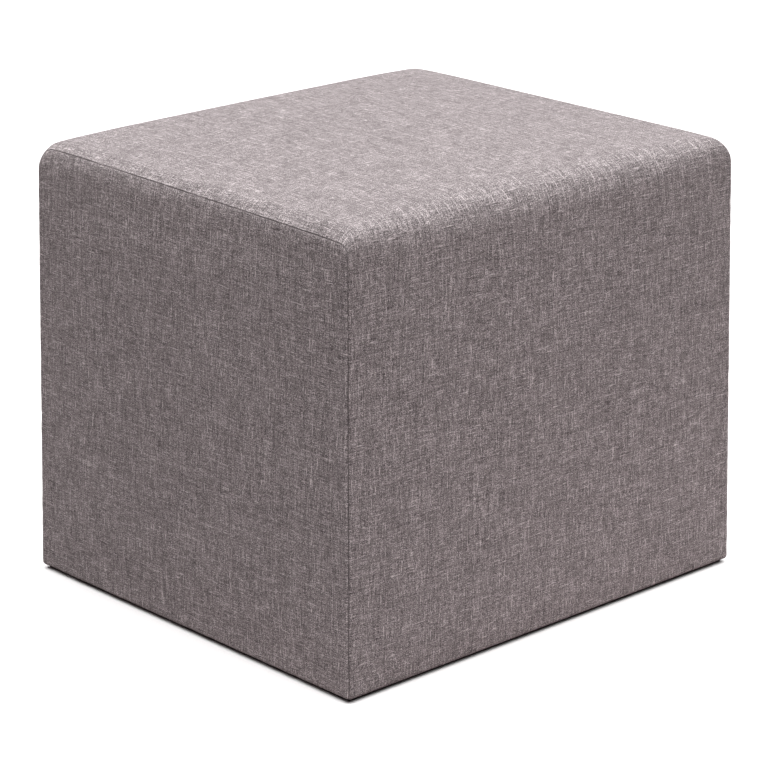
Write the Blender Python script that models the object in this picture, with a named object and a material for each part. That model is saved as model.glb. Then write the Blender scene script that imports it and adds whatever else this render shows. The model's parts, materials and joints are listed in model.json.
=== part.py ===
"""Cube pouf stool: a filled block in one wrapped strip of cloth, two sewn side panels and a base cloth.

The strip runs up the front, over the seat and down the back, bending softly at the two seat edges.
The side panels close the ends with plain seams. Front is -Y, the side panels face -X and +X, the
pouf stands on Z = 0 and the origin is in the middle of its footprint. Metres throughout.
"""

import math
from collections import namedtuple

import bpy
import bmesh
from mathutils import Vector

# Overall size
WIDTH = 0.488
DEPTH = 0.433
HEIGHT = 0.420

# Soft shape
CROWN = 0.005  # the seat's middle above its edges
CROWN_POWER = 6  # how fast the crown fades below the seat
LEAN = 0.007  # each upright face is drawn in by this much at the seat
BOW = 0.001  # each upright face's middle beyond its edges
BOW_POWER = 5  # how fast the bow fades behind its face

# Rounded edges, which turn quickly at the seat and slowly down the uprights: a bend follows the strip,
# a roll turns towards a side seam and is no deeper than the bends it ends on
SEAT_BEND_ACROSS = 0.013
SEAT_BEND_DOWN = 0.027
HEM_BEND = 0.0055
SEAT_ROLL_ACROSS = 0.018
SEAT_ROLL_DOWN = 0.026
UPRIGHT_ROLL = 0.005
HEM_ROLL = 0.0045

# Side seams: where each lies on its roll, from 0 (strip's face) to 90 degrees (side face)
SEAT_SEAM_FRONT = math.radians(57)
SEAT_SEAM_BACK = math.radians(39)
UPRIGHT_SEAM = math.radians(45)
HEM_SEAM = math.radians(40)
RIDGE = 0.09  # how far both cloths rise to the seam, as a share of the roll
RIDGE_REACH = 0.5  # the part of the strip's side of the roll that rises
GROOVE_HALF = 0.0014
GROOVE_DEPTH = 0.0012

# Cloth and clearances
PANEL_THICK = 0.002
BASE_THICK = 0.003
BASE_INSET = 0.006
BASE_CORNER = 0.006
BASE_CORNER_STEPS = 4
PIECE_GAP = 0.0004  # it narrows to about 0.2 mm where the seat's bends meet the rolls

# Divisions
ROLL_STEPS = 5
ACROSS_STEPS = 8
FACE_RINGS = (0.82, 0.5, 0.2)
SHARP_ANGLE = math.radians(40)

BODY_BOTTOM = BASE_THICK + PIECE_GAP
BODY_TOP = HEIGHT - CROWN
QUARTER = math.pi / 2

# The strip's outline, up the front, over the seat, down the back and along the floor. Each row is a
# bend and the run that follows it: its side of Y, whether it is at the seat, its size across and down,
# the depth of the side rolls on the runs before and after it, and the steps in the bend and in the run.
BENDS = (
    dict(side=-1, seat=False, across=HEM_BEND, down=HEM_BEND,
         before=HEM_ROLL, after=UPRIGHT_ROLL, bend=3, run=6),
    dict(side=-1, seat=True, across=SEAT_BEND_ACROSS, down=SEAT_BEND_DOWN,
         before=UPRIGHT_ROLL, after=SEAT_ROLL_DOWN, bend=7, run=8),
    dict(side=1, seat=True, across=SEAT_BEND_ACROSS, down=SEAT_BEND_DOWN,
         before=SEAT_ROLL_DOWN, after=UPRIGHT_ROLL, bend=7, run=6),
    dict(side=1, seat=False, across=HEM_BEND, down=HEM_BEND,
         before=UPRIGHT_ROLL, after=HEM_ROLL, bend=3, run=6),
)

CLOTH_TAUPE = (0.215, 0.185, 0.187)
BASE_BLACK = (0.010, 0.010, 0.011)
CLOTH_ROUGHNESS = 0.9

# A point of the outline: (y, z) on the strip, (y, z) at the side face's edge, how far in from the side
# face the roll between them starts, and the seam's angle on that roll.
Spot = namedtuple("Spot", "outer inner across seam")


def clear_scene():
    for item in list(bpy.data.objects):
        bpy.data.objects.remove(item, do_unlink=True)


def cloth_material(name, colour):
    material = bpy.data.materials.new(name)
    material.use_nodes = True
    shader = material.node_tree.nodes["Principled BSDF"]
    shader.inputs["Base Color"].default_value = (*colour, 1)
    shader.inputs["Roughness"].default_value = CLOTH_ROUGHNESS
    shader.inputs["Metallic"].default_value = 0
    return material


def blend(start, end, share):
    return start + (end - start) * share


def by_facing(facing, seat, upright, hem):
    """A size by where the outline faces: up at the seat, level at the uprights, down at the hem."""
    up = max(0.0, math.sin(facing)) ** 2
    down = max(0.0, -math.sin(facing)) ** 2
    return upright + (seat - upright) * up + (hem - upright) * down


def on_bend(centre, start, first, second, turn):
    """The (y, z) place on a bend: first is its size towards its start, second a quarter turn later."""
    ahead = first * math.cos(turn)
    beyond = second * math.sin(turn)
    return (
        centre[0] - ahead * math.cos(start) + beyond * math.sin(start),
        centre[1] + ahead * math.sin(start) + beyond * math.cos(start),
    )


def bend_points(number, row):
    """(outer, inner, facing) along one bend; facing is 0 at the front and a quarter turn at the seat."""
    across, down = row["across"], row["down"]
    centre_z = BODY_TOP - down if row["seat"] else BODY_BOTTOM + down
    centre = (row["side"] * (DEPTH / 2 - across), centre_z)
    start = QUARTER * (number - 1)
    # the second and fourth bends start on an upright run, the others on a level one
    first, second = (across, down) if number % 2 else (down, across)
    points = []
    for step in range(row["bend"] + 1):
        turn = QUARTER * step / row["bend"]
        outer = on_bend(centre, start, first, second, turn)
        inner = on_bend(centre, start, first - row["before"], second - row["after"], turn)
        points.append((outer, inner, start + turn))
    return points


def strip_outline():
    """Every Spot round the strip's closed outline."""
    bends = [bend_points(number, row) for number, row in enumerate(BENDS)]
    points = []
    for number, row in enumerate(BENDS):
        points.extend(bends[number])
        here_outer, here_inner, facing = bends[number][-1]
        there_outer, there_inner, _ = bends[(number + 1) % len(BENDS)][0]
        for step in range(1, row["run"]):
            share = step / row["run"]
            outer = tuple(blend(here_outer[k], there_outer[k], share) for k in (0, 1))
            inner = tuple(blend(here_inner[k], there_inner[k], share) for k in (0, 1))
            points.append((outer, inner, facing))
    outline = []
    for outer, inner, facing in points:
        # the seam drifts down the seat's roll towards the front
        seat_seam = blend(SEAT_SEAM_FRONT, SEAT_SEAM_BACK, 0.5 + outer[0] / DEPTH)
        across = by_facing(facing, SEAT_ROLL_ACROSS, UPRIGHT_ROLL, HEM_ROLL)
        seam = by_facing(facing, seat_seam, UPRIGHT_SEAM, HEM_SEAM)
        outline.append(Spot(outer, inner, across, seam))
    return outline


def ridge_height(spot, down, angle):
    """How far the roll stands out at this angle, highest at the seam."""
    reach = spot.seam * RIDGE_REACH if angle < spot.seam else QUARTER - spot.seam
    share = max(0.0, 1 - abs(angle - spot.seam) / reach)
    return RIDGE * min(spot.across, down) * share**2


def rolled(spot, side, angle, sunk=0.0, along=0.0):
    """A place on the roll at this angle, sunk below the surface and moved on towards the side face."""
    inward = Vector((0, spot.inner[0] - spot.outer[0], spot.inner[1] - spot.outer[1]))
    down = inward.length
    inward.normalize()
    place = Vector((side * (WIDTH / 2 - spot.across * (1 - math.sin(angle))), *spot.outer))
    place += inward * down * (1 - math.cos(angle))
    outwards = Vector((side * down * math.sin(angle), 0, 0)) - inward * spot.across * math.cos(angle)
    onwards = Vector((side * spot.across * math.cos(angle), 0, 0)) + inward * down * math.sin(angle)
    rise = ridge_height(spot, down, angle) - sunk
    return place + outwards.normalized() * rise + onwards.normalized() * along


def groove_angle(spot, towards):
    """Where the roll meets the seam's groove, on the side face's side (1) or the strip's side (-1)."""
    down = math.dist(spot.inner, spot.outer)
    pace = math.hypot(spot.across * math.cos(spot.seam), down * math.sin(spot.seam))
    return spot.seam + towards * GROOVE_HALF / pace


def drawn(place):
    """The block's soft shape: crowned seat, upright faces leaning in a little and bowed out."""
    x_share = 2 * place.x / WIDTH
    y_share = 2 * place.y / DEPTH
    level = place.z / HEIGHT
    bulge = BOW * math.sin(math.pi * min(max(level, 0), 1))
    x_bow = bulge * x_share**BOW_POWER * max(0, 1 - y_share**2)
    y_bow = bulge * y_share**BOW_POWER * max(0, 1 - x_share**2)
    lean = LEAN * level
    at_seat = max(place.z / BODY_TOP, 0) ** CROWN_POWER
    crown = CROWN * at_seat * max(0, 1 - x_share**2) * max(0, 1 - y_share**2)
    return Vector((
        place.x - x_share * lean + x_bow,
        place.y - y_share * lean + y_bow,
        place.z + crown,
    ))


def face_rings(outline, side, sunk):
    """Rings that close a side face, from its edge to its middle, and the middle point."""
    edge = [rolled(spot, side, QUARTER, sunk) for spot in outline]
    middle = Vector((edge[0].x, 0, (BODY_BOTTOM + BODY_TOP) / 2))
    rings = [edge]
    for share in FACE_RINGS:
        rings.append([middle + (place - middle) * share for place in edge])
    return rings, middle


def roll_rings(outline, side, towards, sunk=0.0):
    """Rings over the roll from the seam: to just short of the side face (1), or to the strip's face (-1)."""
    rings = []
    last = ROLL_STEPS if towards < 0 else ROLL_STEPS - 1
    for step in range(last + 1):
        ring = []
        for spot in outline:
            start = groove_angle(spot, towards) if sunk == 0 else spot.seam
            end = QUARTER if towards > 0 else 0
            ring.append(rolled(spot, side, blend(start, end, step / ROLL_STEPS), sunk))
        rings.append(ring)
    return rings


def seam_ring(outline, side, towards, sunk):
    """The seam's own ring on one piece, half the gap away from the seam's line."""
    return [rolled(spot, side, spot.seam, sunk, towards * PIECE_GAP / 2) for spot in outline]


def object_from_rings(name, rings, first_middle, last_middle, material):
    """One closed body from a run of rings, with both ends closed on a middle point."""
    mesh = bpy.data.meshes.new(name)
    work = bmesh.new()
    loops = [[work.verts.new(drawn(place)) for place in ring] for ring in rings]
    count = len(rings[0])
    for near, far in zip(loops, loops[1:]):
        for here in range(count):
            after = (here + 1) % count
            work.faces.new((near[here], near[after], far[after], far[here]))
    for middle, ring in ((first_middle, loops[0]), (last_middle, loops[-1])):
        tip = work.verts.new(drawn(middle))
        for here in range(count):
            work.faces.new((tip, ring[here], ring[(here + 1) % count]))
    bmesh.ops.recalc_face_normals(work, faces=work.faces)
    bmesh.ops.triangulate(work, faces=[face for face in work.faces if len(face.verts) > 3])
    work.to_mesh(mesh)
    work.free()
    item = bpy.data.objects.new(name, mesh)
    bpy.context.collection.objects.link(item)
    mesh.materials.append(material)
    mesh.shade_smooth()
    mesh.set_sharp_from_angle(angle=SHARP_ANGLE)
    return item


def pocket_rings(outline, side):
    """The filled body's end under a side panel, from its middle out to the seam's wall."""
    sunk = PANEL_THICK + PIECE_GAP
    faces, middle = face_rings(outline, side, sunk)
    rolls = roll_rings(outline, side, 1, sunk)[1:]
    wall = [seam_ring(outline, side, -1, sunk), seam_ring(outline, side, -1, GROOVE_DEPTH)]
    return faces[::-1] + rolls[::-1] + wall, middle


def wrap_panel(outline, material):
    """The strip with its filling: a tube of the outline, both ends sunk to take a side panel."""
    left, left_middle = pocket_rings(outline, -1)
    right, right_middle = pocket_rings(outline, 1)
    rings = left + roll_rings(outline, -1, -1)
    for step in range(1, ACROSS_STEPS):
        ring = []
        for spot in outline:
            half = WIDTH / 2 - spot.across
            ring.append(Vector((blend(-half, half, step / ACROSS_STEPS), *spot.outer)))
        rings.append(ring)
    rings += roll_rings(outline, 1, -1)[::-1] + right[::-1]
    return object_from_rings("wrap_panel", rings, left_middle, right_middle, material)


def side_panel(name, outline, side, material):
    """A cut panel with its edge rolled over to the seam, the same all round."""
    outer_faces, outer_middle = face_rings(outline, side, 0.0)
    inner_faces, inner_middle = face_rings(outline, side, PANEL_THICK)
    rings = outer_faces[::-1] + roll_rings(outline, side, 1)[::-1]
    rings += [seam_ring(outline, side, 1, GROOVE_DEPTH), seam_ring(outline, side, 1, PANEL_THICK)]
    rings += roll_rings(outline, side, 1, PANEL_THICK)[1:] + inner_faces
    return object_from_rings(name, rings, outer_middle, inner_middle, material)


def base_cloth(material):
    """The flat cloth under the body, on which the pouf stands."""
    work = bmesh.new()
    bmesh.ops.create_cube(work, size=1)
    size = Vector((WIDTH - 2 * BASE_INSET, DEPTH - 2 * BASE_INSET, BASE_THICK))
    bmesh.ops.scale(work, vec=size, verts=work.verts)
    bmesh.ops.translate(work, vec=(0, 0, BASE_THICK / 2), verts=work.verts)
    uprights = [
        edge for edge in work.edges if abs(edge.verts[0].co.z - edge.verts[1].co.z) > BASE_THICK / 2
    ]
    bmesh.ops.bevel(
        work, geom=uprights, offset=BASE_CORNER, segments=BASE_CORNER_STEPS, affect="EDGES", profile=0.5
    )
    mesh = bpy.data.meshes.new("base_cloth")
    work.to_mesh(mesh)
    work.free()
    item = bpy.data.objects.new("base_cloth", mesh)
    bpy.context.collection.objects.link(item)
    mesh.materials.append(material)
    return item


def build():
    clear_scene()
    outline = strip_outline()
    pouf = bpy.data.objects.new("pouf", None)
    bpy.context.collection.objects.link(pouf)
    pieces = [
        wrap_panel(outline, cloth_material("wrap_cloth", CLOTH_TAUPE)),
        side_panel("side_panel_left", outline, -1, cloth_material("left_cloth", CLOTH_TAUPE)),
        side_panel("side_panel_right", outline, 1, cloth_material("right_cloth", CLOTH_TAUPE)),
        base_cloth(cloth_material("base_black", BASE_BLACK)),
    ]
    for piece in pieces:
        piece.parent = pouf


build()
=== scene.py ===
import json
import math
from collections import namedtuple

import bpy
import numpy as np
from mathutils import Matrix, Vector, noise

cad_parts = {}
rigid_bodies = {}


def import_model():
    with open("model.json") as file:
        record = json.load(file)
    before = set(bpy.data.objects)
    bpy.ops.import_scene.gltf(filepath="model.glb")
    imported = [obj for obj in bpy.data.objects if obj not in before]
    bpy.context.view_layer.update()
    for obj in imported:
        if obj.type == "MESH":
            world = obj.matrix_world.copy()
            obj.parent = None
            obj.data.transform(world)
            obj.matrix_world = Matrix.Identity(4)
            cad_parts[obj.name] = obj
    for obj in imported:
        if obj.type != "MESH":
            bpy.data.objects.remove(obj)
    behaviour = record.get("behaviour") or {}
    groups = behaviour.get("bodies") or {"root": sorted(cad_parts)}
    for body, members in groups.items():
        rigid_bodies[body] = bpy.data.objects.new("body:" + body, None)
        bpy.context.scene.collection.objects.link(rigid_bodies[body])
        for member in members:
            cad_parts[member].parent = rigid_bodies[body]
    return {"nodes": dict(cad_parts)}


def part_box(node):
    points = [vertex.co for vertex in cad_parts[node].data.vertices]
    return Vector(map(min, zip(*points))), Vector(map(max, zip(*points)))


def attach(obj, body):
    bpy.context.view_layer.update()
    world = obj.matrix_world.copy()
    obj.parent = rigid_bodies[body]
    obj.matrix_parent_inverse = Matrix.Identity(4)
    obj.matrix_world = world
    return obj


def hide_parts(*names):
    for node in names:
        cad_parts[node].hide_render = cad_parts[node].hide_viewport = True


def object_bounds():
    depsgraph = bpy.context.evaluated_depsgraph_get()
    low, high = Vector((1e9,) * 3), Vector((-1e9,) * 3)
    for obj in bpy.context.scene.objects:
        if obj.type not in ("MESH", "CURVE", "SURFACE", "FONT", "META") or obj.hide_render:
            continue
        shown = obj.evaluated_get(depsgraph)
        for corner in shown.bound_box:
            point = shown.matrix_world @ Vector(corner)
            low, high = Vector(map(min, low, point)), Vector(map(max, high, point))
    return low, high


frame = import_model()
cadLow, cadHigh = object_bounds()
width, depth, height = cadHigh - cadLow
print("frame loaded:", [round(side, 4) for side in (width, depth, height)])


# the pouf's shape: the CAD's strip outline and rolled edges at cloth detail, with a fuller seat
pouf = {
    "seatBendAcross": 0.020,  # the strip's bends at the front and back of the seat
    "seatBendDown": 0.027,
    "bendFullness": 2.9,  # 2 is a plain ellipse, and more fills the bend out towards its corner
    "bendPoints": 49,  # an odd number, so that each bend has a middle
    "hemBend": 0.0052,
    "seatRollAcross": 0.018,  # the rolls from the strip to the side panels
    "seatRollDown": 0.026,
    "uprightRoll": 0.005,
    "hemRoll": 0.0045,
    "seatSeamFront": 57,  # where the seam lies on its roll, in degrees from the strip's face
    "seatSeamBack": 39,
    "uprightSeam": 45,
    "hemSeam": 40,
    "ridge": 0.09,  # how far the cloth stands up at a seam, as a share of its roll
    "ridgeReach": 0.5,  # the part of the strip's side of the roll that rises to the seam
    "crown": 0.005,
    "crownFullness": 8,  # how long the seat stays high towards the strip's two bends
    "cornerSlack": (0.0014, 0.0042),  # how far the filling settles at the seat's front and back corners
    "cornerPower": 10,  # higher keeps the slack nearer to the corners
    "seatPower": 6,  # higher keeps the crown and the slack nearer to the seat
    "lean": 0.007,  # how far each upright face leans in at the top
    "bow": 0.001,  # how far it bulges half way up
    "bowPower": 5,
    "seamShoulder": 0.0008,  # radius of each cloth's turned edge at the seam
    "seamGap": 0.0001,
    "pucker": 0.00034,  # unevenness of the cloth along the seams
    "puckerLength": 0.010,
    "puckerReach": 0.012,
    "puckerSeed": 3.7,  # sets the two sides' puckers apart
}
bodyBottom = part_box("wrap_panel")[0].z
bodyTop = height - pouf["crown"]
bendPoints = pouf["bendPoints"]
quarter = math.pi / 2

# a point of the strip's outline: on the strip, at the side face, roll width, seam angle, length so far
Spots = namedtuple("Spots", "outer inner across seam along")


def byFacing(facing, seat, upright, hem):
    # a value that turns smoothly from one to the next as the strip faces up, sideways or down
    up = np.maximum(0, np.sin(facing)) ** 2
    down = np.maximum(0, -np.sin(facing)) ** 2
    return upright + (seat - upright) * up + (hem - upright) * down


def onBend(centre, start, first, second, turn):
    power = 2 / pouf["bendFullness"]
    ahead = first * np.cos(turn) ** power
    beyond = second * np.sin(turn) ** power
    return np.stack([
        centre[0] - ahead * math.cos(start) + beyond * math.sin(start),
        centre[1] + ahead * math.sin(start) + beyond * math.cos(start),
    ], axis=1)


def makeOutline():
    # bends in order: front hem, front of the seat, back of the seat, back hem
    hem, seatAcross, seatDown = pouf["hemBend"], pouf["seatBendAcross"], pouf["seatBendDown"]
    bends = [
        (-1, False, hem, hem, pouf["hemRoll"], pouf["uprightRoll"]),
        (-1, True, seatAcross, seatDown, pouf["uprightRoll"], pouf["seatRollDown"]),
        (1, True, seatAcross, seatDown, pouf["seatRollDown"], pouf["uprightRoll"]),
        (1, False, hem, hem, pouf["uprightRoll"], pouf["hemRoll"]),
    ]
    outer, inner, facing = [], [], []
    turn = np.linspace(0, quarter, bendPoints)
    for number, (side, atSeat, across, down, before, after) in enumerate(bends):
        level = bodyTop - down if atSeat else bodyBottom + down
        centre = (side * (depth / 2 - across), level)
        start = quarter * (number - 1)
        # a bend that starts on an upright has its size across first, one that starts level its size down
        first, second = (across, down) if number % 2 else (down, across)
        outer.append(onBend(centre, start, first, second, turn))
        inner.append(onBend(centre, start, first - before, second - after, turn))
        facing.append(start + turn)
    # the outline ends on its first point
    count = len(bends) * bendPoints + 1
    outer, inner, facing = (np.concatenate(part + part[:1])[:count] for part in (outer, inner, facing))
    along = np.concatenate([[0], np.cumsum(np.linalg.norm(np.diff(outer, axis=0), axis=1))])
    seatSeam = np.interp(outer[:, 0], (-depth / 2, depth / 2), (pouf["seatSeamFront"], pouf["seatSeamBack"]))
    seam = byFacing(facing, seatSeam, pouf["uprightSeam"], pouf["hemSeam"])
    across = byFacing(facing, pouf["seatRollAcross"], pouf["uprightRoll"], pouf["hemRoll"])
    return Spots(outer, inner, across, np.radians(seam), along)


outline = makeOutline()
girth = outline.along[-1]
bendMiddles = [outline.along[bendPoints * number + bendPoints // 2] for number in range(4)]


def spotsAt(along):
    at = np.mod(along, girth)

    def read(column):
        return np.interp(at, outline.along, column)

    def readPair(columns):
        return np.stack([read(columns[:, 0]), read(columns[:, 1])], axis=-1)

    outer, inner = readPair(outline.outer), readPair(outline.inner)
    return Spots(outer, inner, read(outline.across), read(outline.seam), along)


def onRoll(spots, side, angle, sunk=0.0, onward=0.0):
    # a place on the roll between the strip and the side face, sunk below it and moved on towards the side
    inward = spots.inner - spots.outer
    down = np.linalg.norm(inward, axis=-1)
    inward = inward / down[..., None]
    slantX = side * down * np.sin(angle)
    slantIn = -spots.across * np.cos(angle)
    length = np.hypot(slantX, slantIn)
    stepX = side * spots.across * np.cos(angle) / length
    stepIn = down * np.sin(angle) / length
    # both cloths rise towards the seam and meet in a low ridge, which the strip meets at a steeper slope
    reach = np.where(angle < spots.seam, spots.seam * pouf["ridgeReach"], quarter - spots.seam)
    risen = np.clip(1 - np.abs(angle - spots.seam) / reach, 0, 1) ** 2
    sunk = sunk - pouf["ridge"] * np.minimum(spots.across, down) * risen
    x = side * (width / 2 - spots.across * (1 - np.sin(angle)))
    x = x - slantX / length * sunk + stepX * onward
    rest = down * (1 - np.cos(angle)) - slantIn / length * sunk + stepIn * onward
    place = spots.outer + inward * rest[..., None]
    return np.stack([x, place[..., 0], place[..., 1]], axis=-1)


def seamPace(spots):
    # how far the roll's surface goes for one radian at the seam
    down = np.linalg.norm(spots.inner - spots.outer, axis=-1)
    return np.hypot(spots.across * np.cos(spots.seam), down * np.sin(spots.seam))


def drawn(points):
    # the soft shape: crowned seat with settled corners, upright faces leaning in a little and bowed out
    x, y, z = points[..., 0], points[..., 1], points[..., 2]
    xShare, yShare, level = 2 * x / width, 2 * y / depth, z / height
    bulge = pouf["bow"] * np.sin(math.pi * np.clip(level, 0, 1))
    fadeX, fadeY = np.maximum(0, 1 - xShare**2), np.maximum(0, 1 - yShare**2)
    lean = pouf["lean"] * level
    atSeat = np.maximum(z / bodyTop, 0) ** pouf["seatPower"]
    crown = pouf["crown"] * atSeat * fadeX * np.maximum(0, 1 - yShare ** pouf["crownFullness"])
    slack = np.interp(yShare, (-1, 1), pouf["cornerSlack"])
    corner = slack * atSeat * np.clip(np.abs(xShare * yShare), 0, 1) ** pouf["cornerPower"]
    return np.stack([
        x - xShare * lean + bulge * xShare ** pouf["bowPower"] * fadeY,
        y - yShare * lean + bulge * yShare ** pouf["bowPower"] * fadeX,
        z + crown - corner,
    ], axis=-1)


def shoulder(steps):
    # the turned edge of a cloth at the seam: (distance from the seam, depth) from the top of its curve down
    angles = np.linspace(0, quarter, steps + 1)
    radius = pouf["seamShoulder"]
    return [(radius * (1 - math.sin(a)), radius * (1 - math.cos(a))) for a in angles]


def puckerAt(along, side, seed):
    scale = 1 / pouf["puckerLength"]
    values = [noise.noise(Vector((a * scale, side * pouf["puckerSeed"], seed))) for a in np.ravel(along)]
    return pouf["pucker"] * np.reshape(values, np.shape(along))


def clothGrid(name, columns, rows):
    # a new grid, which runs from -1 to 1, with each point's column and row
    bpy.ops.object.select_all(action="DESELECT")
    bpy.ops.mesh.primitive_grid_add(x_subdivisions=columns, y_subdivisions=rows, size=2)
    piece = bpy.context.object
    piece.name = piece.data.name = name
    piece.data.uv_layers[0].name = "cloth"
    places = np.zeros(len(piece.data.vertices) * 3)
    piece.data.vertices.foreach_get("co", places)
    places = places.reshape(-1, 3)
    column = np.rint((places[:, 0] + 1) / 2 * columns).astype(int)
    row = np.rint((places[:, 1] + 1) / 2 * rows).astype(int)
    return piece, column, row


def setPlaces(piece, places, flat):
    # places are the cloth's points in the world, flat the same points on the uncut cloth, in metres
    piece.data.vertices.foreach_set("co", np.ravel(places))
    corners = np.zeros(len(piece.data.loops), int)
    piece.data.loops.foreach_get("vertex_index", corners)
    piece.data.uv_layers["cloth"].data.foreach_set("uv", np.ravel(flat[corners]))
    piece.data.update()


def noteSeam(piece, distance):
    # how far each point lies from the bottom of the seam, along the cloth, for the cloth's material to read
    note = piece.data.attributes.new("seam", "FLOAT", "POINT")
    note.data.foreach_set("value", np.maximum(distance, 0))


def setWeights(piece, name, values):
    # weights in hundredths, so that points of one weight go in together
    group = piece.vertex_groups.new(name=name)
    levels = np.round(values, 2)
    for level in np.unique(levels[levels > 0]):
        group.add(np.flatnonzero(levels == level).tolist(), float(level), "REPLACE")


def activate(piece):
    bpy.ops.object.select_all(action="DESELECT")
    piece.select_set(True)
    bpy.context.view_layer.objects.active = piece


def smoothShade(piece, degrees=50):
    activate(piece)
    bpy.ops.object.shade_smooth_by_angle(angle=math.radians(degrees))


# the strip of cloth that wraps the filling: up the front, over the seat, down the back and underneath
wrap = {
    "flatColumns": 108,  # divisions between the two rolls
    "rollSteps": 9,
    "shoulderSteps": 4,
    "pocketSteps": 4,
    "pocketDepth": 0.0023,  # how far the ends are sunk to take the side panels
    "runSteps": 96,  # divisions between two bends
    "bendSteps": (6, 18, 18, 6),
    "puckerSeed": 1.3,
    "weld": 0.00001,
}


def wrapStations():
    # where along the strip its rows of points lie: over each bend, then on to the next
    marks = []
    for number, steps in enumerate(wrap["bendSteps"]):
        after = bendPoints * (number + 1)
        first, last, following = outline.along[[after - bendPoints, after - 1, after]]
        marks.append(np.linspace(first, last, steps, endpoint=False))
        marks.append(np.linspace(last, following, wrap["runSteps"], endpoint=False))
    return np.concatenate(marks + [[girth]])


def wrapSide(spots, side):
    # columns from the middle of the hidden end, over the turned edge and the roll, to the strip's face
    pace = seamPace(spots)
    columns = []
    for step in range(wrap["pocketSteps"], 0, -1):
        angle = spots.seam + (quarter - spots.seam) * step / wrap["pocketSteps"]
        columns.append(onRoll(spots, side, angle, wrap["pocketDepth"]))
    uneven = puckerAt(spots.along, side, wrap["puckerSeed"])
    columns.append(onRoll(spots, side, spots.seam, wrap["pocketDepth"], -pouf["seamGap"] / 2))
    start = spots.seam
    for away, deep in reversed(shoulder(wrap["shoulderSteps"])):
        start = spots.seam - (away + pouf["seamGap"] / 2) / pace
        columns.append(onRoll(spots, side, start, deep + uneven))
    for step in range(1, wrap["rollSteps"] + 1):
        angle = start * (1 - step / wrap["rollSteps"])
        fade = np.clip(1 - (start - angle) * pace / pouf["puckerReach"], 0, 1)
        columns.append(onRoll(spots, side, angle, uneven * fade))
    return columns


def makeWrap():
    along = wrapStations()
    spots = spotsAt(along)
    left, right = wrapSide(spots, -1), wrapSide(spots, 1)
    columns = list(left)
    for step in range(1, wrap["flatColumns"]):
        share = step / wrap["flatColumns"]
        columns.append(left[-1] * (1 - share) + right[-1] * share)
    columns += right[::-1]
    places = np.stack(columns)  # column, station, xyz
    widths = np.linalg.norm(np.diff(places, axis=0), axis=2)
    across = np.concatenate([np.zeros((1, len(along))), np.cumsum(widths, axis=0)])
    across -= across[len(columns) // 2]
    flat = np.stack([across, np.broadcast_to(along, across.shape)], axis=-1)

    piece, column, row = clothGrid("wrapCloth", len(columns) - 1, len(along) - 1)
    setPlaces(piece, drawn(places)[column, row], flat[column, row])
    seamAt = wrap["pocketSteps"] + 1
    fromSeam = np.minimum(across - across[seamAt], across[-1 - seamAt] - across)[column, row]
    noteSeam(piece, fromSeam)
    return piece, fromSeam


def closeWrap(piece):
    # joins the strip into a tube and closes its two hidden ends
    activate(piece)
    bpy.ops.object.mode_set(mode="EDIT")
    bpy.ops.mesh.select_all(action="SELECT")
    bpy.ops.mesh.remove_doubles(threshold=wrap["weld"])
    bpy.ops.mesh.select_all(action="DESELECT")
    bpy.ops.mesh.select_mode(type="EDGE")
    bpy.ops.mesh.select_non_manifold(extend=False, use_wire=False, use_multi_face=False,
                                     use_non_contiguous=False)
    bpy.ops.mesh.edge_face_add()
    bpy.ops.mesh.select_all(action="SELECT")
    bpy.ops.mesh.normals_make_consistent(inside=False)
    bpy.ops.object.mode_set(mode="OBJECT")


# a side panel, sewn to the strip all round
panel = {
    "faceCells": 54,  # divisions from the middle of the face to its edge
    "rollSteps": 7,
    "shoulderSteps": 4,
    "puckerSeed": 8.1,
    "cloth": 0.0014,
    "cutLess": (0.004, 0.010),  # how much less than the pouf's depth and height its flat cut is
}


def panelRings(along, side):
    # rings of points from the face's edge, over the roll and its turned edge, down into the seam
    spots = spotsAt(along)
    pace = seamPace(spots)
    top = spots.seam + (pouf["seamShoulder"] + pouf["seamGap"] / 2) / pace
    uneven = puckerAt(along, side, panel["puckerSeed"])
    rings = [onRoll(spots, side, np.full_like(along, quarter))]
    for step in range(1, panel["rollSteps"] + 1):
        angle = quarter + (top - quarter) * step / panel["rollSteps"]
        fade = np.clip(1 - (angle - top) * pace / pouf["puckerReach"], 0, 1)
        rings.append(onRoll(spots, side, angle, uneven * fade))
    for away, deep in shoulder(panel["shoulderSteps"])[1:]:
        angle = spots.seam + (away + pouf["seamGap"] / 2) / pace
        rings.append(onRoll(spots, side, angle, deep + uneven))
    return np.stack(rings), spots


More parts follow.
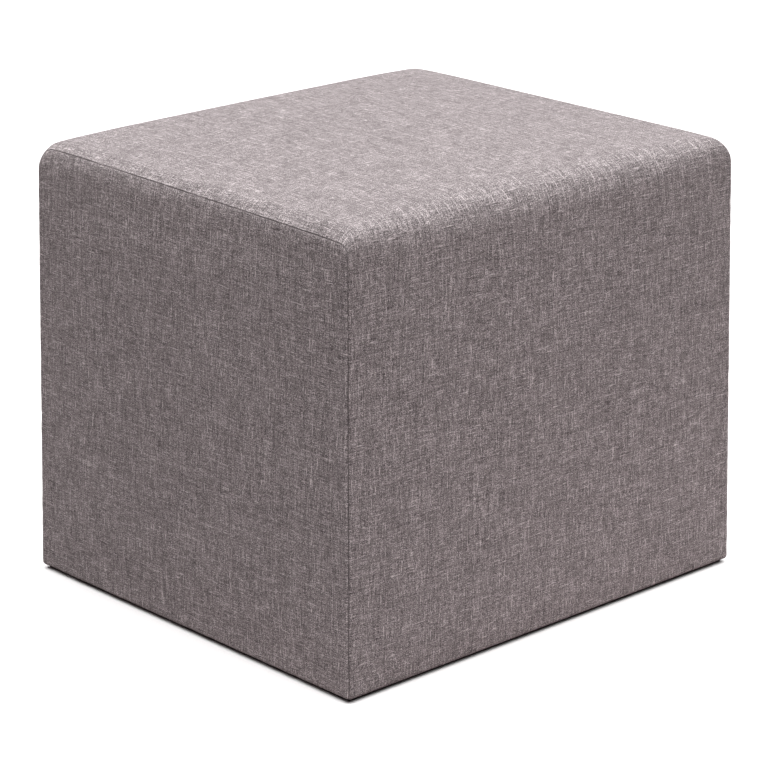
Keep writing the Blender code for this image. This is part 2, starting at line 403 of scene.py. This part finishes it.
def makePanel(name, side):
    rollRings = panel["rollSteps"] + panel["shoulderSteps"]
    cells = panel["faceCells"]
    half = cells + rollRings
    piece, column, row = clothGrid(name, 2 * half, 2 * half)
    i, j = column - half, row - half
    ring = np.maximum(np.abs(i), np.abs(j))
    # each ring's four sides run between the middles of the outline's bends: front, seat, back, floor
    share = np.where(np.abs(i) >= np.abs(j), j, i) / np.maximum(ring, 1)
    onFront, onBack = -i >= np.abs(j), i >= np.abs(j)
    onSeat = (j > np.abs(i)) & ~onFront & ~onBack
    hemFront, seatFront, seatBack, hemBack = bendMiddles
    along = np.where(onFront, hemFront + (seatFront - hemFront) * (share + 1) / 2, 0)
    along = np.where(onSeat, seatFront + (seatBack - seatFront) * (share + 1) / 2, along)
    along = np.where(onBack, seatBack + (hemBack - seatBack) * (1 - share) / 2, along)
    onFloor = ~(onFront | onSeat | onBack)
    along = np.where(onFloor, hemBack + (girth + hemFront - hemBack) * (1 - share) / 2, along)

    rings, spots = panelRings(along, side)
    middle = np.array([side * width / 2, 0, (bodyBottom + bodyTop) / 2])
    inFace = np.minimum(ring / cells, 1)[:, None]
    places = middle + (rings[0] - middle) * inFace
    widths = np.linalg.norm(np.diff(rings, axis=0), axis=2)
    reached = np.concatenate([np.zeros((1, len(along))), np.cumsum(widths, axis=0)])
    number = np.maximum(ring - cells, 0)
    each = np.arange(len(along))
    outside = ring > cells
    places[outside] = rings[number, each][outside]
    outwards = spots.outer - spots.inner
    outwards /= np.linalg.norm(outwards, axis=1)[:, None]
    flat = places[:, 1:].copy()
    flat[outside] = (rings[0][:, 1:] + outwards * reached[number, each][:, None])[outside]
    toEdge = np.linalg.norm(rings[0] - middle, axis=1) * (1 - inFace[:, 0])
    fromSeam = reached[-1] - reached[number, each] + toEdge
    setPlaces(piece, drawn(places), flat)
    noteSeam(piece, fromSeam)
    return piece, fromSeam


# how the filling pushes the sewn cover out: a simulated copy of the CAD, which the cloths then follow
filling = {
    "voxel": 0.0075,
    "pressure": 4.0,
    "frames": 20,
    "most": 0.0016,  # how far a point may move
    "seamPoints": 600,
    "held": 0.010,  # the cover is held this near its seams
    "letGo": 0.010,  # and is free this much further away
    "hemHeld": 0.008,
    "fade": 0.070,  # the cloths follow it fully this far from their seams
}


def simulateFilling():
    activate(frame["nodes"]["wrap_panel"])
    for name in ("side_panel_left", "side_panel_right"):
        frame["nodes"][name].select_set(True)
    bpy.ops.object.duplicate()
    bpy.ops.object.join()
    cover = bpy.context.object
    cover.name = "fillingCover"
    bpy.ops.object.parent_clear(type="CLEAR_KEEP_TRANSFORM")
    cover.data.remesh_voxel_size = filling["voxel"]
    bpy.ops.object.voxel_remesh()
    rest = np.zeros(len(cover.data.vertices) * 3)
    cover.data.vertices.foreach_get("co", rest)
    rest = rest.reshape(-1, 3)
    # the seams, the hem and the floor hold the cover in place
    spots = spotsAt(np.linspace(0, girth, filling["seamPoints"]))
    seams = np.concatenate([drawn(onRoll(spots, side, spots.seam)) for side in (-1, 1)])
    nearest = np.array([np.min(np.linalg.norm(seams - point, axis=1)) for point in rest])
    held = np.clip(1 - (nearest - filling["held"]) / filling["letGo"], 0, 1)
    held = np.maximum(held, rest[:, 2] < bodyBottom + filling["hemHeld"])
    setWeights(cover, "held", held)
    cloth = cover.modifiers.new("cloth", "CLOTH")
    cloth.settings.use_pressure = True
    cloth.settings.uniform_pressure_force = filling["pressure"]
    cloth.settings.effector_weights.gravity = 0
    cloth.settings.vertex_group_mass = "held"
    for number in range(1, filling["frames"] + 1):
        bpy.context.scene.frame_set(number)
    blown = cover.evaluated_get(bpy.context.evaluated_depsgraph_get()).to_mesh()
    moved = np.zeros(len(rest) * 3)
    blown.vertices.foreach_get("co", moved)
    moved = moved.reshape(-1, 3) - rest
    cover.modifiers.remove(cloth)
    bpy.context.scene.frame_set(1)
    far = np.linalg.norm(moved, axis=1)
    print("filling: pushed", len(rest), "points, the furthest by", round(float(far.max()) * 1000, 2), "mm")
    soft = filling["most"] * np.tanh(far / filling["most"]) / np.maximum(far, 1e-9)
    return cover, rest, moved * soft[:, None]


def followFilling(piece, fromSeam, cover, rest, moved):
    # the cloth is bound to the cover at rest, and follows it as it swells, less and less towards its seams
    fade = np.clip(fromSeam / filling["fade"], 0, 1)
    setWeights(piece, "swells", fade * fade * (3 - 2 * fade))
    activate(piece)
    bind = piece.modifiers.new("follow", "SURFACE_DEFORM")
    bind.target = cover
    bind.vertex_group = "swells"
    bpy.ops.object.surfacedeform_bind(modifier="follow")
    print("bound", piece.name, bind.is_bound)
    cover.data.vertices.foreach_set("co", np.ravel(rest + moved))
    cover.data.update()
    bpy.context.view_layer.update()
    bpy.ops.object.modifier_apply(modifier="follow")
    cover.data.vertices.foreach_set("co", np.ravel(rest))
    cover.data.update()


def finishPanel(piece):
    activate(piece)
    # a panel's grid may face inwards, and its cloth gets its thickness away from where it faces
    bpy.ops.object.mode_set(mode="EDIT")
    bpy.ops.mesh.select_all(action="SELECT")
    bpy.ops.mesh.normals_make_consistent(inside=False)
    bpy.ops.object.mode_set(mode="OBJECT")
    outwards = sum(face.normal.x * face.area for face in piece.data.polygons)
    if outwards * piece.data.vertices[0].co.x < 0:
        piece.data.flip_normals()
    thick = piece.modifiers.new("thick", "SOLIDIFY")
    thick.thickness = panel["cloth"]
    thick.offset = -1
    bpy.ops.object.modifier_apply(modifier="thick")


wrapCloth, wrapFromSeam = makeWrap()
panelLeft, leftFromSeam = makePanel("sidePanelLeft", -1)
panelRight, rightFromSeam = makePanel("sidePanelRight", 1)
print("cloths cut and folded")
sewn = (wrapCloth, panelLeft, panelRight)
cover, coverRest, coverMoved = simulateFilling()
for piece, fromSeam in zip(sewn, (wrapFromSeam, leftFromSeam, rightFromSeam)):
    followFilling(piece, fromSeam, cover, coverRest, coverMoved)
bpy.data.objects.remove(cover)
closeWrap(wrapCloth)
for piece in (panelLeft, panelRight):
    finishPanel(piece)
for piece in sewn:
    smoothShade(piece)
print("cover finished:", {piece.name: len(piece.data.polygons) for piece in sewn})


# the black cloth under the pouf, a little slack between its edges
base = {
    "cells": 60,
    "cloth": 0.0022,
    "lift": 0.0004,
    "sag": 0.0003,
    "waves": 22,  # how close together the slack's waves are
    "seed": 4.2,
}


def makeBase():
    low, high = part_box("base_cloth")
    piece, column, row = clothGrid("baseCloth", base["cells"], base["cells"])
    x = low.x + (high.x - low.x) * column / base["cells"]
    y = low.y + (high.y - low.y) * row / base["cells"]
    waves = base["waves"]
    wave = np.array([noise.noise(Vector((a * waves, b * waves, base["seed"]))) for a, b in zip(x, y)])
    z = base["lift"] + base["sag"] * wave
    setPlaces(piece, np.stack([x, y, z], axis=1), np.stack([x, y], axis=1))
    activate(piece)
    thick = piece.modifiers.new("thick", "SOLIDIFY")
    thick.thickness = base["cloth"]
    thick.offset = 1
    bpy.ops.object.modifier_apply(modifier="thick")
    return piece


baseCloth = makeBase()
smoothShade(baseCloth)
print("base cloth made")


# the cloth: a plain weave of slubbed melange yarns
weave = {
    "warpPitch": 0.00095,
    "weftPitch": 0.00105,
    "wander": 0.0009,  # how far the yarns stray from straight
    "wanderScale": 22.0,
    "slubLength": 0.0028,  # a pale or dark stretch of a yarn, in metres of cloth
    "yarnStep": 7.31,  # how unlike its neighbour each yarn is
    "toneSeeds": (0.5, 9.5),  # for the warp and for the weft
    "streakSeeds": (5.8, 14.8),
    "slubSeeds": (21.5, 33.5),
    "warp": 1.3,  # how much the warp yarns differ in tone, up the front and over the seat
    "weft": 0.85,
    "streak": 0.42,  # how much whole yarns differ over a long way
    "streakStep": 3.17,
    "streakRun": 0.11,  # lower is longer
    "weftStreak": 0.7,  # next to the warp's 1
    "slub": 0.57,  # how pale or dark the thick and thin stretches of a few yarns are
    "slubNarrow": 1.5,  # higher is thinner
    "slubRun": 0.25,  # lower is longer
    "thick": (0.62, 0.80),  # where thick stretches start and are full, in noise from 0 to 1
    "thin": (0.20, 0.38),  # where thin ones are full and end
    "thinShade": -0.7,  # next to a thick one's 1
    "weftSlub": 0.8,
    "fibre": 1.36,
    "fibreScale": 1050.0,
    "mottle": 0.10,
    "mottleScale": 70.0,
    "pillow": 0.2,  # how much of the relief is both yarns' swelling where they cross
    "dark": (0.040, 0.032, 0.034),
    "light": (0.613, 0.560, 0.564),
    "pale": 2.2,  # above 1, pale fibres are fewer and stand out more
    "middle": 0.539,
    "depthShade": 0.25,  # how much painted shade darkens the cloth deep between the yarns
    "roughness": 0.92,
    "smoother": -0.12,  # on top of the yarns
    "sheen": 0.15,
    "sheenTint": (1.0, 0.90, 0.90),
    "sheenRoughness": 0.5,
    "gloss": 0.25,
    "relief": 0.00025,
    "reliefStrength": 0.8,
    "seamShadeWidth": 0.0014,  # width of the painted shade at the bottom of a seam
    "paintedSeamShade": 0.90,
    "shadeBreakScale": 11.0,  # the painted seam shade is fainter here and there, by noise at this scale
    "shadeBreakRange": (0.35, 0.55),
    "shadeBreakLeast": 0.35,
    "highlightWidth": 0.0045,  # width of the painted highlight, a pale band beside a seam
    "highlightBreakScale": 260.0,
    "highlightBreakRange": (0.3, 0.7),
    # how strong the painted highlight beside the seams is, on the strip and on the side panels
    "wrapHighlight": 0.05,
    "sideHighlight": 0.12,
    "wrapCutAt": (0.0, 0.0, 0.0),  # where on the roll of cloth each panel is cut, in metres
    "leftCutAt": (3.1, 1.7, 0.0),
    "rightCutAt": (5.9, 4.3, 0.0),
}
weaveSockets = {
    "Warp Pitch": "warpPitch",
    "Weft Pitch": "weftPitch",
    "Slub Length": "slubLength",
    "Warp": "warp",
    "Weft": "weft",
    "Streak": "streak",
    "Slub": "slub",
    "Fibre": "fibre",
    "Mottle": "mottle",
}


def isSocket(value):
    return isinstance(value, bpy.types.NodeSocket)


def feed(tree, node, values):
    # links or sets a node's inputs
    for name, value in dict(values).items():
        if isSocket(value):
            tree.links.new(value, node.inputs[name])
        else:
            node.inputs[name].default_value = value


def put(tree, kind, values=(), **settings):
    # adds a node with its settings, then feeds it
    node = tree.nodes.new(kind)
    for name, value in settings.items():
        setattr(node, name, value)
    feed(tree, node, values)
    return node


def calc(tree, operation, first, second=0.0, third=0.0):
    return put(tree, "ShaderNodeMath", {0: first, 1: second, 2: third}, operation=operation).outputs[0]


def lay(tree, x, y, z=0.0):
    return put(tree, "ShaderNodeCombineXYZ", {0: x, 1: y, 2: z}).outputs[0]


def speckle(tree, vector, scale, detail=0.0, roughness=0.5):
    values = {"Vector": vector, "Scale": scale, "Detail": detail, "Roughness": roughness}
    return put(tree, "ShaderNodeTexNoise", values).outputs["Fac"]


def ramp(tree, value, start, end, low=0.0, high=1.0):
    values = {"Value": value, "From Min": start, "From Max": end, "To Min": low, "To Max": high}
    return put(tree, "ShaderNodeMapRange", values, interpolation_type="SMOOTHSTEP").outputs["Result"]


def mixValues(tree, share, first, second):
    return put(tree, "ShaderNodeMix", {"Factor": share, "A": first, "B": second}).outputs["Result"]


def mixColours(tree, share, first, second, **settings):
    first, second = (colour if isSocket(colour) else (*colour, 1) for colour in (first, second))
    values = {"Factor": share, "A": first, "B": second}
    return put(tree, "ShaderNodeMix", values, data_type="RGBA", **settings).outputs["Result"]


def newMaterial(name):
    material = bpy.data.materials.new(name)
    material.use_nodes = True
    tree = material.node_tree
    return material, tree, tree.nodes["Principled BSDF"]


def newGroup(name, vectors, floats, results):
    group = bpy.data.node_groups.new(name, "ShaderNodeTree")
    for socket in vectors:
        group.interface.new_socket(socket, in_out="INPUT", socket_type="NodeSocketVector")
    for socket in floats:
        group.interface.new_socket(socket, in_out="INPUT", socket_type="NodeSocketFloat")
    for socket in results:
        group.interface.new_socket(socket, in_out="OUTPUT", socket_type="NodeSocketFloat")
    return group, group.nodes.new("NodeGroupInput").outputs


def giveResults(group, results):
    ends = group.nodes.new("NodeGroupOutput").inputs
    for name, socket in results.items():
        group.links.new(socket, ends[name])


def paintedSeamShadeAndHighlight():
    # the first result is painted shade at the bottom of a seam, here and there fainter; the second a painted
    # highlight, an uneven pale band beside it
    group, given = newGroup("paintedSeamShadeAndHighlight", ["Cloth"], ["Distance", "Seam Shade Width", "Highlight Width"],
                            ["Painted Seam Shade", "Painted Highlight"])
    seamShade = ramp(group, given["Distance"], 0.0, given["Seam Shade Width"], 1.0, 0.0)
    beside = ramp(group, given["Distance"], given["Seam Shade Width"], given["Highlight Width"], 1.0, 0.0)
    broken = ramp(group, speckle(group, given["Cloth"], weave["highlightBreakScale"], 2.0, 0.6), *weave["highlightBreakRange"])
    seamHighlight = calc(group, "MULTIPLY", calc(group, "SUBTRACT", beside, seamShade), broken)
    shadeNoise = speckle(group, given["Cloth"], weave["shadeBreakScale"], 1.0)
    shadeStrength = ramp(group, shadeNoise, *weave["shadeBreakRange"], weave["shadeBreakLeast"], 1.0)
    giveResults(group, {"Painted Seam Shade": calc(group, "MULTIPLY", seamShade, shadeStrength), "Painted Highlight": seamHighlight})
    return group


def melangeWeave():
    # plain weave of slubbed yarns: Shade is the yarns' own tone about 0, Relief their height from 0 to 1
    group, given = newGroup("melangeWeave", ["Cloth"], list(weaveSockets), ["Shade", "Relief"])
    values = {"Vector": given["Cloth"], "Scale": weave["wanderScale"], "Detail": 1.0}
    wander = put(group, "ShaderNodeTexNoise", values).outputs["Color"]
    wander = put(group, "ShaderNodeVectorMath", {0: wander, 1: (0.5, 0.5, 0.5)}, operation="SUBTRACT")
    values = {0: wander.outputs[0], "Scale": weave["wander"]}
    wander = put(group, "ShaderNodeVectorMath", values, operation="SCALE").outputs[0]
    cloth = put(group, "ShaderNodeVectorMath", {0: given["Cloth"], 1: wander}, operation="ADD").outputs[0]
    split = put(group, "ShaderNodeSeparateXYZ", {0: cloth}).outputs
    x, y = split[0], split[1]

    warpAt = calc(group, "DIVIDE", x, given["Warp Pitch"])
    weftAt = calc(group, "DIVIDE", y, given["Weft Pitch"])
    warpNumber, weftNumber = calc(group, "FLOOR", warpAt), calc(group, "FLOOR", weftAt)
    warpOver = calc(group, "PINGPONG", calc(group, "ADD", warpNumber, weftNumber), 1.0)

    def about(value, amount):
        return calc(group, "MULTIPLY", calc(group, "SUBTRACT", value, 0.5), amount)

    def alongYarn(number, step, along, run, seed, detail, roughness=0.5):
        # noise that is read along each yarn, with every yarn a step from the one before it
        at = calc(group, "MULTIPLY", calc(group, "DIVIDE", along, given["Slub Length"]), run)
        place = lay(group, calc(group, "MULTIPLY", number, step), at, seed)
        return speckle(group, place, 1.0, detail, roughness)

    def yarnTone(number, along, seed, amount):
        # a yarn's tone changes along it as its dark and pale fibres come and go
        return about(alongYarn(number, weave["yarnStep"], along, 1.0, seed, 2.0, 0.7), amount)

    def streaks(number, along, seed):
        # each yarn has its own tone, which holds over a long way
        value = alongYarn(number, weave["streakStep"], along, weave["streakRun"], seed, 1.0)
        return about(value, given["Streak"])

    def slubs(across, along, seed):
        # the few stretches of yarn that stand out as thin lines, the thick ones pale and the thin ones dark
        value = alongYarn(across, weave["slubNarrow"], along, weave["slubRun"], seed, 1.0)
        thick = ramp(group, value, *weave["thick"])
        thin = ramp(group, value, *weave["thin"], 1.0, 0.0)
        return calc(group, "MULTIPLY_ADD", thin, weave["thinShade"], thick)

    warpSeed, weftSeed = weave["toneSeeds"]
    weftTone = yarnTone(weftNumber, x, weftSeed, given["Weft"])
    warpTone = yarnTone(warpNumber, y, warpSeed, given["Warp"])
    yarns = mixValues(group, warpOver, weftTone, warpTone)
    warpSeed, weftSeed = weave["slubSeeds"]
    warpSlubs, weftSlubs = slubs(warpAt, y, warpSeed), slubs(weftAt, x, weftSeed)
    slub = calc(group, "MULTIPLY_ADD", weftSlubs, weave["weftSlub"], warpSlubs)
    slub = calc(group, "MULTIPLY", slub, given["Slub"])
    fibre = about(speckle(group, cloth, weave["fibreScale"], 1.0), given["Fibre"])
    mottle = about(speckle(group, cloth, weave["mottleScale"], 2.0, 0.6), given["Mottle"])
    warpSeed, weftSeed = weave["streakSeeds"]
    warpStreaks, weftStreaks = streaks(warpNumber, y, warpSeed), streaks(weftNumber, x, weftSeed)
    streak = calc(group, "MULTIPLY_ADD", weftStreaks, weave["weftStreak"], warpStreaks)
    shade = calc(group, "ADD", calc(group, "ADD", yarns, streak), calc(group, "ADD", slub, fibre))
    shade = calc(group, "ADD", shade, mottle)

    warpRound = calc(group, "SINE", calc(group, "MULTIPLY", calc(group, "FRACT", warpAt), math.pi))
    weftRound = calc(group, "SINE", calc(group, "MULTIPLY", calc(group, "FRACT", weftAt), math.pi))
    swell = calc(group, "MULTIPLY", warpRound, weftRound)
    warpHigh = calc(group, "MULTIPLY", warpRound, calc(group, "MULTIPLY_ADD", weftRound, 0.5, 0.5))
    weftHigh = calc(group, "MULTIPLY", weftRound, calc(group, "MULTIPLY_ADD", warpRound, 0.5, 0.5))
    relief = calc(group, "MULTIPLY", mixValues(group, warpOver, weftHigh, warpHigh), 1 - weave["pillow"])
    relief = calc(group, "MULTIPLY_ADD", swell, weave["pillow"], relief)
    giveResults(group, {"Shade": shade, "Relief": relief})
    return group


weaveGroup = melangeWeave()
paintedSeamGroup = paintedSeamShadeAndHighlight()


def clothMaterial(name, cutAt, seamHighlight):
    material, tree, shader = newMaterial(name)
    uv = put(tree, "ShaderNodeUVMap", uv_map="cloth").outputs[0]
    placed = put(tree, "ShaderNodeVectorMath", {0: uv, 1: cutAt}, operation="ADD").outputs[0]
    values = {socket: weave[key] for socket, key in weaveSockets.items()}
    values["Cloth"] = placed
    weaving = put(tree, "ShaderNodeGroup", values, node_tree=weaveGroup).outputs
    seam = put(tree, "ShaderNodeAttribute", attribute_name="seam").outputs["Fac"]
    values = {"Cloth": placed, "Distance": seam, "Seam Shade Width": weave["seamShadeWidth"],
              "Highlight Width": weave["highlightWidth"]}
    paintedSeam = put(tree, "ShaderNodeGroup", values, node_tree=paintedSeamGroup).outputs
    # painted shade deep between the yarns, and a painted highlight in an uneven band beside the seams
    depthAt = calc(tree, "SUBTRACT", weaving["Relief"], 0.5)
    paintedLitTone = calc(tree, "MULTIPLY_ADD", depthAt, weave["depthShade"], weave["middle"])
    paintedLitTone = calc(tree, "MULTIPLY_ADD", paintedSeam["Painted Highlight"], seamHighlight, paintedLitTone)
    tone = calc(tree, "MAXIMUM", calc(tree, "ADD", weaving["Shade"], paintedLitTone), 0.0)
    tone = calc(tree, "POWER", tone, weave["pale"])
    # painted shade at the bottom of each seam, here and there fainter
    kept = calc(tree, "MULTIPLY_ADD", paintedSeam["Painted Seam Shade"], -weave["paintedSeamShade"], 1.0)
    tone = calc(tree, "MULTIPLY", tone, kept)
    values = {"Height": weaving["Relief"], "Distance": weave["relief"], "Strength": weave["reliefStrength"]}
    feed(tree, shader, {
        "Base Color": mixColours(tree, tone, weave["dark"], weave["light"], clamp_factor=True),
        "Roughness": calc(tree, "MULTIPLY_ADD", weaving["Relief"], weave["smoother"], weave["roughness"]),
        "Normal": put(tree, "ShaderNodeBump", values).outputs[0],
        "Sheen Weight": weave["sheen"],
        "Sheen Tint": (*weave["sheenTint"], 1),
        "Sheen Roughness": weave["sheenRoughness"],
        "Specular IOR Level": weave["gloss"],
    })
    return material


# the base cloth's pressed fibres
felt = {
    "fibreScale": 900.0,
    "dark": (0.004, 0.004, 0.004),
    "light": (0.022, 0.021, 0.022),
    "roughness": 0.75,
    "rougher": 0.2,  # where its fibres stand up
    "relief": 0.0003,
    "reliefStrength": 0.7,
}


def feltMaterial():
    material, tree, shader = newMaterial("baseFelt")
    uv = put(tree, "ShaderNodeUVMap", uv_map="cloth").outputs[0]
    fibres = speckle(tree, uv, felt["fibreScale"], 3.0, 0.7)
    values = {"Height": fibres, "Distance": felt["relief"], "Strength": felt["reliefStrength"]}
    feed(tree, shader, {
        "Base Color": mixColours(tree, fibres, felt["dark"], felt["light"]),
        "Roughness": calc(tree, "MULTIPLY_ADD", fibres, felt["rougher"], felt["roughness"]),
        "Normal": put(tree, "ShaderNodeBump", values).outputs[0],
    })
    return material


def dress(piece, material):
    piece.data.materials.clear()
    piece.data.materials.append(material)


dress(wrapCloth, clothMaterial("wrapMelange", weave["wrapCutAt"], weave["wrapHighlight"]))
dress(panelLeft, clothMaterial("leftMelange", weave["leftCutAt"], weave["sideHighlight"]))
dress(panelRight, clothMaterial("rightMelange", weave["rightCutAt"], weave["sideHighlight"]))
dress(baseCloth, feltMaterial())
print("materials made")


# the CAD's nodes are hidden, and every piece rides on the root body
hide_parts("wrap_panel")
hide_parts("side_panel_left")
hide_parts("side_panel_right")
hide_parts("base_cloth")
for piece, slot in ((wrapCloth, "wrap_cloth"), (panelLeft, "side_cloth"), (panelRight, "side_cloth"),
                    (baseCloth, "base_cloth")):
    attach(piece, "root")


# a white studio: a wide soft light overhead, a pale room, and a floor that lights the upright faces
studio = {
    "ceilingPower": 6.8,
    "ceilingSpread": 90,  # how much of the sky the lit ceiling fills, in degrees
    "ceilingPlace": (0.03, -0.11, 2.0),  # a little in front of the pouf
    "floorSize": 30,
    "floorTone": 0.78,
    "floorRoughness": 0.9,
    "floorGloss": 0.1,
    "bounceTone": 0.03,  # what the floor gives back of the ceiling's light, beside its own glow
    "glowPlace": (0.10, -0.46, 0.0),  # the floor glows a little warm, most in front of the pouf
    "glowReach": 0.85,
    "glowNear": (0.78, 0.652, 0.652),
    "glowFar": (0.32, 0.265, 0.265),
    "shadeReach": 0.006,  # there is no glow under the pouf, nor this close beside it
    "roomLight": 0.20,
    "roomColour": (1.0, 0.81, 0.81),
    "seenColour": (1, 1, 1),  # the room as the camera sees it
}


def makeCeiling():
    light = bpy.data.lights.new("ceiling", "SUN")
    light.angle = math.radians(studio["ceilingSpread"])
    light.energy = studio["ceilingPower"]
    lamp = bpy.data.objects.new("ceiling", light)
    bpy.context.scene.collection.objects.link(lamp)
    lamp.location = studio["ceilingPlace"]
    lamp.rotation_euler = (-lamp.location).to_track_quat("-Z", "Y").to_euler()


def makeFloor():
    bpy.ops.object.select_all(action="DESELECT")
    bpy.ops.mesh.primitive_plane_add(size=studio["floorSize"])
    floor = bpy.context.object
    floor.name = "floor"
    material, tree, shader = newMaterial("paleFloor")
    # pale to the eye, while the light that it sends up to the pouf is set by its glow
    seen = put(tree, "ShaderNodeLightPath").outputs["Is Camera Ray"]
    at = put(tree, "ShaderNodeTexCoord").outputs["Object"]
    away = put(tree, "ShaderNodeVectorMath", {0: at, 1: studio["glowPlace"]}, operation="DISTANCE")
    far = ramp(tree, away.outputs["Value"], 0.0, studio["glowReach"])
    glow = mixColours(tree, far, studio["glowNear"], studio["glowFar"])
    split = put(tree, "ShaderNodeSeparateXYZ", {0: at}).outputs
    beyond = [calc(tree, "SUBTRACT", calc(tree, "ABSOLUTE", split[axis]), side / 2)
              for axis, side in ((0, width), (1, depth))]
    shaded = ramp(tree, calc(tree, "MAXIMUM", *beyond), 0.0, studio["shadeReach"], 1.0, 0.0)
    feed(tree, shader, {
        "Base Color": mixValues(tree, seen, studio["bounceTone"], studio["floorTone"]),
        "Roughness": studio["floorRoughness"],
        "Specular IOR Level": studio["floorGloss"],
        "Emission Color": mixColours(tree, calc(tree, "MAXIMUM", seen, shaded), glow, (0, 0, 0)),
        "Emission Strength": 1.0,
    })
    floor.data.materials.append(material)


def makeRoom():
    world = bpy.data.worlds.new("paleRoom")
    bpy.context.scene.world = world
    world.use_nodes = True
    tree = world.node_tree
    seen = put(tree, "ShaderNodeLightPath").outputs["Is Camera Ray"]
    feed(tree, tree.nodes["Background"], {
        "Color": mixColours(tree, seen, studio["roomColour"], studio["seenColour"]),
        "Strength": mixValues(tree, seen, studio["roomLight"], 1.0),
    })


makeFloor()
makeRoom()
makeCeiling()

# set to the photograph's view
camera = {
    "place": (-1.8834, -2.0271, 1.1029),
    "turn": -42.862,
    "tilt": 18.438,
    "lens": 146.90,
    "film": 36,
}


def makeCamera():
    data = bpy.data.cameras.new("camera")
    data.lens = camera["lens"]
    data.sensor_width = camera["film"]
    eye = bpy.data.objects.new("camera", data)
    bpy.context.scene.collection.objects.link(eye)
    eye.location = camera["place"]
    turn, tilt = math.radians(camera["turn"]), math.radians(camera["tilt"])
    ahead = Vector((-math.sin(turn) * math.cos(tilt), math.cos(turn) * math.cos(tilt), -math.sin(tilt)))
    eye.rotation_euler = ahead.to_track_quat("-Z", "Y").to_euler()
    bpy.context.scene.camera = eye


makeCamera()
bpy.context.scene.view_settings.view_transform = "Standard"
print("studio ready")
